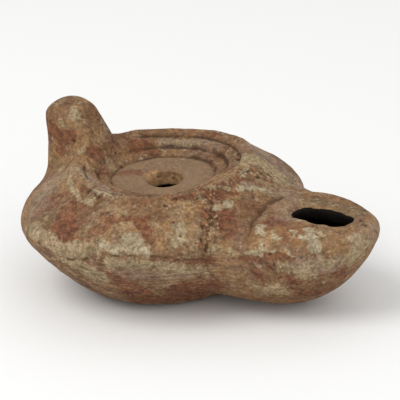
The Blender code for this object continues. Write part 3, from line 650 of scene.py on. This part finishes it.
# Points moved by noise, so that marks placed with them get uneven borders.
def unsettled(points, amount, size, seed):
    moves = [layeredNoise(points, size, seed + 10 * axis, 2) for axis in range(3)]
    return points + amount * np.stack(moves, -1)


# Sum of -depth * (1 - (d / half)^2)^2 dents around seeded vertices of the mesh.
def scatteredDents(points, count, seed):
    draw = np.random.default_rng(seed)
    height = np.zeros(len(points))
    chosen = draw.integers(0, len(points), count)
    for place, half in zip(points[chosen], draw.uniform(0.35, 0.85, count)):
        box = np.flatnonzero(np.abs(points - place).max(1) < half)
        away = np.linalg.norm(points[box] - place, axis=1) / half
        height[box] -= 0.36 * half * np.clip(1 - away ** 2, 0, 1) ** 2
    return height


points, ends = meshArrays(clay.data)
points = relaxed(points, ends, np.full(len(points), 0.5), 2)      # takes the voxel steps off
x, y, z = points.T
along, across = relief["roundHole"]
awayFromHole = smoothStep(0.9, 1.15, np.hypot((x - nozzle["holeX"]) / along, y / across))
points = relaxed(points, ends, 0.6 * smoothStep(21.2, 22.6, np.hypot(x, y)) * awayFromHole, 6)
x, y, z = points.T
worn = markField(points, wornMarks)
worn *= 1 - smoothStep(18.6, 17.4, np.hypot(x, y)) * (x > -8) * (z > 22)
points = relaxed(points, ends, worn * 0.85, 60)
writePoints(clay.data, points)
normals = meshNormals(clay.data)
print("relief: joints softened")

# The marks' fields. Most are placed with unsettled points, so that their borders are uneven.
ragged = unsettled(points, 1.6, 2.6, 40)
wavering = unsettled(points, 0.5, 3.0, 200)
tables = (crustMarks, stainMarks, veilMarks, cleanMarks)
crust, stain, veil, clean = (markField(ragged, table) for table in tables)
slip = markField(unsettled(points, 1.3, 2.2, 80), slipMarks)
bare = markField(wavering, bareMarks)
pitted = markField(points, pitMarks)

# Height of the relief along the normals.
x, y, z = points.T
radius = np.hypot(x, y)
low = smoothStep(18.5, 15.5, z) * (1 - 0.75 * smoothStep(23, 30, x))
wipes = layeredNoise(np.stack([np.arctan2(y, x) * 31 / 9, z / 0.9, radius / 6], -1), 1.0, 120, 2)
height = sum(rise * layeredNoise(points, size, seed, 2) for rise, size, seed in relief["noises"])
height += relief["wipes"] * wipes * low
crustCover = smoothStep(0.35, 0.6, crust + 0.45 * layeredNoise(points, 1.3, 160, 2))
height += relief["crust"] * crustCover * (0.6 + 1.4 * valueNoise(points / 0.8, 170))
height += relief["slip"] * smoothStep(0.35, 0.6, slip)
wells = smoothStep(0.05, 0.5, valueNoise(points / 0.7, 180)) * pitted
height -= relief["pits"] * wells
height += scatteredDents(points, relief["scatteredPits"], 190)
# Dark lines painted along the grooves: painted shade in the cuts, and on the seam also its brown joint.
cuts = np.zeros(len(points))
for depth, half, shade, path in grooveLines.values():
    box, away = nearLine(wavering, path, half * 3)
    cut = np.exp(-(away / half) ** 2) * (0.88 + 0.24 * valueNoise(points[box] / 2.5, 210))
    height[box] -= depth * cut
    if depth > 0:
        broken = 0.25 + 0.75 * smoothStep(-0.5, 0.15, valueNoise(points[box] / 1.2, 230))
        cuts[box] = np.maximum(cuts[box], cut * shade * broken)
discTop = (radius < lamp["discRadius"] - 0.6) & (np.abs(z - lamp["discTop"]) < 1.2)
height *= smoothStep(*relief["flatUnder"], z) * np.where(discTop, 0.3, 1.0)
depth, half, path = relief["fillSlope"]
box, away = nearLine(points, path, half * 2.5)
slope = np.zeros(len(points))
slope[box] = np.exp(-(away / half) ** 2)
height -= depth * slope
points = points + normals * height[:, None]
writePoints(clay.data, points)
print("relief: displaced by", round(float(height.min()), 2), "to", round(float(height.max()), 2), "mm")

# How hollow the surface is at each vertex: the smoothed surface's height over it, in millimetres.
x, y, z = points.T
normals = meshNormals(clay.data)
smoother = relaxed(points, ends, np.full(len(points), 0.6), 10)
hollowness = ((smoother - points) * normals).sum(1)
# Lighter on the ridges: the mask of a painted highlight.
edges = smoothStep(0.02, 0.14, -hollowness)
# Painted shade: darker in the hollows, a little in the pits, and in narrow lines along the ring steps.
steps = lamp["discRadius"], lamp["ringInner"], lamp["rimInner"]
rings = sum(np.exp(-((radius - line) / 0.3) ** 2) for line in steps)
rings *= (z > 22) * smoothStep(29.6, 28.8, z) * (1 - worn) * (0.9 + 0.7 * valueNoise(points / 2.5, 215))
dirtAndShade = np.clip(np.maximum(smoothStep(0.03, 0.2, hollowness) + 0.3 * wells, 0.9 * rings), 0, 1)
for line, share in grooveShade.items():
    box, away = nearLine(wavering, grooveLines[line][-1], 1.6)
    dirtAndShade[box] *= 1 - (1 - share) * smoothStep(1.6, 0.8, away)

# Soot in the wick hole, deepened by a painted shade there and in the channel behind it, and bare orange clay
# inside the filling hole, painted lighter to lift its shade. Faces that look towards the hollow's middle
# line, between its floor and ceiling, are inside and are painted dark as shade.
edge = nozzle["top"] - nozzle["holeEdge"]
along, across = relief["sootShadeHalf"]
inHole = np.hypot((x - nozzle["holeX"]) / along, y / across)
sootAndShade = smoothStep(1.04, 0.96, inHole) * smoothStep(edge + 0.3, edge - 0.1, z)
sootAndShade *= z > edge - relief["sootShadeDepth"]
outward = (x - np.clip(x, 0, 44)) * normals[:, 0] + y * normals[:, 1] + (z - 13) * normals[:, 2]
insideShade = ((outward < 0) & (z < relief["inside"][1]) & (z > relief["inside"][0])).astype(float)
sootAndShade = np.maximum(sootAndShade, insideShade * smoothStep(20, 34, x)) * (1 - 0.45 * smoothStep(44.5, 46.5, x))
shift = lamp["fillShift"]
inFillHole = smoothStep(*relief["fillWallRadius"], np.hypot(x - shift[0], y - shift[1]))
inFillHole *= smoothStep(17, 18, z) * smoothStep(lamp["discTop"] - 0.3, lamp["discTop"] - 1.2, z)
fillWall = np.maximum(0.6 * smoothStep(0.3, 0.8, slope), inFillHole)
calm = (1 - fillWall) * smoothStep(lamp["discRadius"] + 0.2, lamp["discRadius"] - 0.8, radius) * (z > 22)
channels = {
    "lines": cuts, "crust": crust, "slip": slip, "dirtAndShade": dirtAndShade, "edges": edges, "stain": stain, "veil": veil,
    "sootAndShade": sootAndShade, "bare": bare, "clean": clean, "pitted": pitted, "fillWall": fillWall, "calm": calm,
    "low": low, "insideShade": insideShade,
}
for name, values in channels.items():
    layer = clay.data.attributes.new(name, "FLOAT", "POINT")
    layer.data.foreach_set("value", values.astype(np.float32))

# Fewer triangles where the surface is plain, so that the relief keeps its own.
triangles = 2 * len(clay.data.polygons)
thin = clay.modifiers.new("thin", "DECIMATE")
thin.ratio = min(1, fineness["triangles"] / triangles)
thin.use_collapse_triangulate = True
applyModifiers(clay)
clay.data.shade_smooth()
print("relief: from", triangles, "to", len(clay.data.polygons), "triangles")

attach(clay, "root")
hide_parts("lamp_body")

# Colours are linear. Some are painted light and shade: the inside's near black, the soot's black where it is
# also shade deep in the holes, the dirt's brown where it lies in the hollows, the lines' brown in the grooves
# and the tone near the floor are painted shade; the filling hole's wall is painted lighter to lift its shade,
# and the warm crust colour is also a painted highlight on the edges.
clayLook = {
    "tan": (0.28, 0.165, 0.078), "umber": (0.178, 0.093, 0.045), "mauve": (0.191, 0.111, 0.071),
    "slip": (0.191, 0.07, 0.033), "slipDark": (0.125, 0.048, 0.028), "orange": (0.285, 0.142, 0.058),
    "crust": (0.385, 0.308, 0.19), "crustWarm": (0.28, 0.2, 0.114), "crustBright": (0.44, 0.385, 0.275),
    "olive": (0.191, 0.145, 0.073), "fleck": (0.44, 0.37, 0.25), "veil": (0.29, 0.212, 0.158),
    "disc": (0.232, 0.152, 0.092), "litHoleWall": (0.43, 0.255, 0.125), "inside": (0.032, 0.019, 0.012),
    "dirtAndShade": (0.055, 0.03, 0.017), "sootAndShade": (0.006, 0.004, 0.003), "stain": (0.152, 0.097, 0.05),
    "line": (0.105, 0.056, 0.03), "lowTone": (0.15, 0.084, 0.054), "floorShadeTone": (0.72, 0.6, 0.55),
    "bumpHeight": 0.00022, "specular": 0.12,
}


def clayMaterial():
    material = bpy.data.materials.new("firedClay")
    material.use_nodes = True
    tree = material.node_tree
    shader = tree.nodes["Principled BSDF"]
    look = clayLook

    # A node with its settings, and its inputs set or joined.
    def node(kind, inputs, output=0, **settings):
        made = tree.nodes.new(kind)
        for key, value in settings.items():
            setattr(made, key, value)
        for key, value in inputs.items():
            if isinstance(value, bpy.types.NodeSocket):
                tree.links.new(value, made.inputs[key])
            else:
                made.inputs[key].default_value = value
        return made.outputs[output]

    def maths(operation, *values):
        return node("ShaderNodeMath", dict(enumerate(values)), operation=operation)

    def times(a, b):
        return maths("MULTIPLY", a, b)

    def layer(name):
        return node("ShaderNodeAttribute", {}, "Fac", attribute_name=name)

    place = node("ShaderNodeTexCoord", {}, "Object")

    # Noise with its wavelength in millimetres.
    def grain(size, detail=4.0, rough=0.6, twist=0.0):
        return node("ShaderNodeTexNoise", {"Vector": place, "Scale": 1000 / size, "Detail": detail,
                                           "Roughness": rough, "Distortion": twist})

    # Distance from the nearest of scattered points.
    def cells(scale):
        return node("ShaderNodeTexVoronoi", {"Vector": place, "Scale": scale}, "Distance")

    def between(value, low, high, bottom=0.0, top=1.0):
        return node("ShaderNodeMapRange", {"Value": value, "From Min": low, "From Max": high,
                                           "To Min": bottom, "To Max": top}, interpolation_type="SMOOTHSTEP")

    def mixed(share, first, second, blend="MIX"):
        tones = [tone if isinstance(tone, bpy.types.NodeSocket) else (*tone, 1) for tone in (first, second)]
        return node("ShaderNodeMix", {0: share, 6: tones[0], 7: tones[1]}, 2, data_type="RGBA",
                    blend_type=blend)

    # Tones laid over a colour in turn, each as far as its share.
    def laid(colour, *coats):
        for share, tone in coats:
            colour = mixed(share, colour, look[tone] if isinstance(tone, str) else tone)
        return colour

    # The mark plus a noise about its middle, cut softly at a level: a patch that crumbles at its border.
    def patch(mark, noise, ragged, level, soft=0.15):
        middle = level + 0.5 * ragged
        return between(maths("MULTIPLY_ADD", noise, ragged, mark), middle - soft, middle + soft)

    broad, medium, fine = grain(11, 5, 0.6, 0.4), grain(4.2, 6, 0.62, 0.6), grain(1.3, 5, 0.65, 0.3)
    tiny, patchy = grain(0.6, 3, 0.65), grain(6.5, 6, 0.66, 0.8)
    powder = maths("MULTIPLY_ADD", grain(1.9, 5, 0.75, 0.6), 0.65, times(tiny, 0.35))
    colour = mixed(between(broad, 0.42, 0.60), look["umber"], look["tan"])

    # Streaks wiped round the lower half: a noise long in the turn about Z and short in height.
    apart = node("ShaderNodeSeparateXYZ", {"Vector": place}).node
    turn = times(maths("ARCTAN2", apart.outputs[1], apart.outputs[0]), 0.0075)
    wiped = node("ShaderNodeCombineXYZ", {0: turn, 1: times(apart.outputs[2], 1.6), 2: 0.0})
    streak = node("ShaderNodeTexNoise", {"Vector": wiped, "Scale": 900.0, "Detail": 5.0, "Roughness": 0.7,
                                         "Distortion": 1.1})
    lowHalf = layer("low")
    darkStreak = times(between(streak, 0.46, 0.60), times(lowHalf, 0.85))
    paleStreak = times(between(streak, 0.47, 0.38), times(lowHalf, 0.6))

    # Red slip: the named patches, and faint remains all over.
    slipNoise = grain(2.3, 7, 0.74, 0.5)
    remains = patch(between(patchy, 0.40, 0.75), slipNoise, 1.3, 0.52, 0.2)
    slipColour = mixed(between(fine, 0.38, 0.62), look["slipDark"], look["slip"])
    slipCover = times(patch(layer("slip"), slipNoise, 1.3, 0.40, 0.22), between(tiny, 0.25, 0.6, 0.45, 0.85))
    unslipped = between(layer("slip"), 0.35, 1.0, 1.0, 0.3)
    veiled = times(patch(layer("veil"), slipNoise, 1.5, 0.30, 0.35), times(unslipped, 0.62))
    colour = laid(
        colour,
        (between(medium, 0.48, 0.66, 0, 0.8), "mauve"),
        (darkStreak, "lowTone"),
        (times(remains, 0.55), slipColour),
        (between(layer("bare"), 0.2, 0.8, 0, 0.6), "orange"),
        (between(layer("clean"), 0.1, 0.9, 0, 0.75), "tan"),
        (times(layer("calm"), 0.72), "disc"),
        # The filling hole's wall: bare orange clay, painted lighter than it is to lift the shade in the hole.
        (times(layer("fillWall"), 0.85), "litHoleWall"),
        (between(layer("stain"), 0.1, 0.9, 0, 0.75), "stain"),
        (slipCover, slipColour),
        (veiled, "veil"))

    # Lime crust: thin remains all over, the named patches, and flecks.
    crustFine = grain(0.8, 5, 0.7, 0.2)
    bright = times(between(layer("crust"), 0.85, 1.25), between(crustFine, 0.35, 0.6, 0.3, 0.8))
    crustColour = mixed(between(crustFine, 0.36, 0.62), look["crustWarm"], look["crust"])
    crustColour = laid(crustColour, (between(medium, 0.48, 0.66, 0, 0.65), "olive"), (bright, "crustBright"))
    calmed = maths("SUBTRACT", between(grain(7.5, 6, 0.68, 0.6), 0.40, 0.78), layer("calm"))
    thinCrust = patch(calmed, powder, 1.9, 0.46, 0.25)
    thickCrust = patch(layer("crust"), powder, 1.9, 0.40, 0.26)
    halfShare = times(unslipped, 0.5)
    flecks = times(between(cells(480.0), 0.34, 0.14), between(slipNoise, 0.50, 0.60))

    # Where the surface is pitted, white grains and dark holes lie side by side.
    grains, pitted = cells(1150.0), layer("pitted")
    whiteGrains = times(between(grains, 0.34, 0.16), between(pitted, 0.2, 0.8, 0.14, 0.75))
    darkHoles = times(between(grains, 0.56, 0.68), between(pitted, 0.2, 0.8, 0, 0.75))
    colour = laid(
        colour,
        (times(thinCrust, halfShare), crustColour),
        (times(thickCrust, 0.85), crustColour),
        (times(paleStreak, unslipped), crustColour),
        (times(flecks, halfShare), "fleck"),
        (whiteGrains, "fleck"),
        (darkHoles, "dirtAndShade"))

    # Fine mottle and streaks multiply the colour, and so does a painted shade that darkens it towards the
    # floor.
    mottle = maths("SUBTRACT", 1.0, times(layer("calm"), 0.55))
    for share, noise, limits, first, second in (
            (mottle, fine, (0.30, 0.70), (0.74, 0.71, 0.69), (1.22, 1.22, 1.22)),
            (mottle, tiny, (0.32, 0.68), (0.76, 0.75, 0.74), (1.22, 1.22, 1.22)),
            (times(lowHalf, 0.45), streak, (0.38, 0.58), (1.34, 1.34, 1.32), (0.72, 0.68, 0.66))):
        colour = mixed(share, colour, mixed(between(noise, *limits), first, second), "MULTIPLY")
    # Painted shade near the floor, darkest at the bottom.
    floorShade = times(between(apart.outputs[2], 0.0115, 0.003), 0.5)
    colour = mixed(floorShade, colour, look["floorShadeTone"], "MULTIPLY")

    # A painted highlight on the edges, specks, lines painted in the grooves as their shade, painted shade in
    # the hollows, the inside painted dark as shade, and soot deepened by painted shade.
    specks = times(between(grain(0.7, 3, 0.6), 0.655, 0.70, 0, 0.6), mottle)
    colour = laid(
        colour,
        (between(layer("edges"), 0.1, 0.9, 0, 0.25), "crustWarm"),
        (specks, "dirtAndShade"),
        (between(layer("lines"), 0.1, 0.8, 0, 0.9), "line"),
        (between(layer("dirtAndShade"), 0.12, 0.95, 0, 0.85), "dirtAndShade"),
        (layer("insideShade"), "inside"),
        (patch(layer("sootAndShade"), fine, 0.3, 0.40, 0.15), "sootAndShade"))
    tree.links.new(colour, shader.inputs["Base Color"])

    rough = mixed(thickCrust, (0.72, 0.72, 0.72), (0.92, 0.92, 0.92))
    rough = mixed(times(fine, 0.5), rough, (0.98, 0.98, 0.98))
    tree.links.new(rough, shader.inputs["Roughness"])
    shader.inputs["Specular IOR Level"].default_value = look["specular"]

    rise = maths("MULTIPLY_ADD", thickCrust, 0.55, times(crustFine, 0.9))
    rise = maths("ADD", rise, times(tiny, 0.45))
    rise = maths("SUBTRACT", rise, times(specks, 0.7))
    rise = maths("ADD", rise, times(slipNoise, 0.5))
    bump = node("ShaderNodeBump", {"Height": rise, "Strength": 0.8, "Distance": look["bumpHeight"]})
    tree.links.new(bump, shader.inputs["Normal"])
    return material


clay.data.materials.clear()
clay.data.materials.append(clayMaterial())

# Floor, light and camera. Each light has its place, its size in metres and its power in watts.
room = {
    "floorHalf": 1.5, "floorColour": (0.86, 0.86, 0.85, 1), "floorRoughness": 0.9,
    "skyColour": (1.0, 1.0, 1.0, 1), "skyStrength": 0.78,
    "lights": {"keyLight": ((-0.25, -0.45, 0.75), 0.6, 3.5), "fillLight": ((0.7, -0.35, 0.5), 0.6, 1.2)},
    "lightsAim": (0, 0, 0.015),
}


def floorMaterial():
    material = bpy.data.materials.new("paleFloor")
    material.use_nodes = True
    shader = material.node_tree.nodes["Principled BSDF"]
    shader.inputs["Base Color"].default_value = room["floorColour"]
    shader.inputs["Roughness"].default_value = room["floorRoughness"]
    return material


half = room["floorHalf"]
floorMesh = bpy.data.meshes.new("floor")
corners = [(-half, -half, 0), (half, -half, 0), (half, half, 0), (-half, half, 0)]
floorMesh.from_pydata(corners, [], [(0, 1, 2, 3)])
floorMesh.materials.append(floorMaterial())
floor = bpy.data.objects.new("floor", floorMesh)
bpy.context.scene.collection.objects.link(floor)

world = bpy.data.worlds.new("softStudio")
bpy.context.scene.world = world
world.use_nodes = True
sky = world.node_tree.nodes["Background"]
sky.inputs["Color"].default_value = room["skyColour"]
sky.inputs["Strength"].default_value = room["skyStrength"]

for name, (place, size, power) in room["lights"].items():
    light = bpy.data.lights.new(name, "AREA")
    light.shape = "DISK"
    light.size = size
    light.energy = power
    holder = bpy.data.objects.new(name, light)
    holder.location = place
    holder.rotation_euler = (Vector(room["lightsAim"]) - Vector(place)).to_track_quat("-Z", "Y").to_euler()
    bpy.context.scene.collection.objects.link(holder)
print("room: floor, sky and lights")

# The photograph's long lens: where it stands round the lamp, and where in a frame of 400 pixels the
# lamp's middle lies. Angles are in degrees, places in metres and the lens in millimetres.
view = {"azimuth": 38.5, "elevation": 21.97, "roll": 5.1, "distance": 0.4, "lens": 163.15, "sensor": 36,
        "middle": (0, 0, 0.015), "pixel": (166.66, 211.5), "frame": 400}


def photoCamera():
    data = bpy.data.cameras.new("photoCamera")
    data.lens = view["lens"]
    data.sensor_width = view["sensor"]
    data.clip_start = 0.01
    camera = bpy.data.objects.new("photoCamera", data)
    az, el, roll = (math.radians(view[k]) for k in ("azimuth", "elevation", "roll"))
    back = Vector((math.sin(az) * math.cos(el), -math.cos(az) * math.cos(el), math.sin(el)))
    right = Vector((math.cos(az), math.sin(az), 0))
    up = back.cross(right)
    right, up = right * math.cos(roll) - up * math.sin(roll), right * math.sin(roll) + up * math.cos(roll)
    middle = Vector(view["middle"])
    place = middle + back * view["distance"]
    perPixel = view["distance"] * data.sensor_width / data.lens / view["frame"]
    centre = view["frame"] / 2
    aside, down = view["pixel"]
    aim = middle + right * (centre - aside) * perPixel + up * (down - centre) * perPixel
    back = (place - aim).normalized()
    right = (right - back * right.dot(back)).normalized()
    up = back.cross(right)
    camera.matrix_world = Matrix.Translation(place) @ Matrix((right, up, back)).transposed().to_4x4()
    bpy.context.scene.collection.objects.link(camera)
    bpy.context.scene.camera = camera


photoCamera()
bpy.context.scene.view_settings.view_transform = "Standard"
